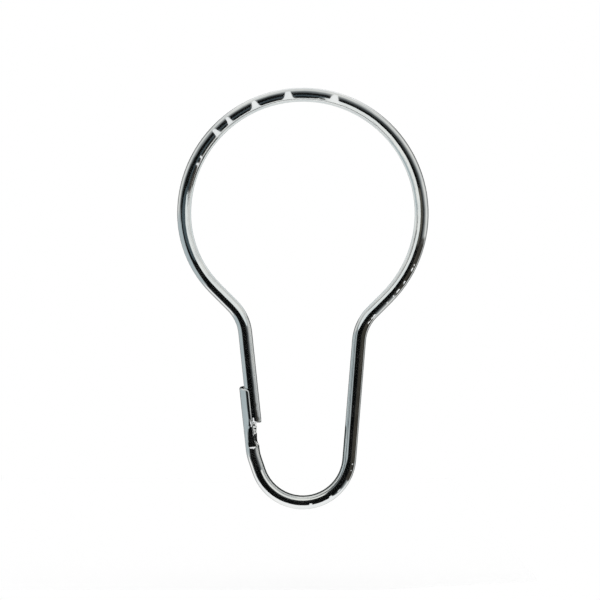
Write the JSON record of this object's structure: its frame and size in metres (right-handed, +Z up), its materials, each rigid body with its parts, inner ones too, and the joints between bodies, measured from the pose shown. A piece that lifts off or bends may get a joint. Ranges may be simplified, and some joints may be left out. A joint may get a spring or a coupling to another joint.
{
  "type": "curtain hook",
  "caption": "Pear-shaped curtain hook of round chrome-plated wire: a wide eye hangs on the rod, a narrow loop holds the curtain, and the free end springs into a rolled catch.",
  "frame": {"origin": "centre of the eye, on the middle plane of the wire", "axes": "+Z up, from the loop to the eye; +Y towards the back, through the eye along the rod; +X to the right as seen from the front, with the catch on the left arm"},
  "size_m": [0.0419, 0.0037, 0.0702],
  "materials": {
    "plated_wire": "polished chrome plate on drawn steel wire"
  },
  "bodies": {
    "root": {"curtain_hook": "plated_wire"}
  },
  "joints": []
}
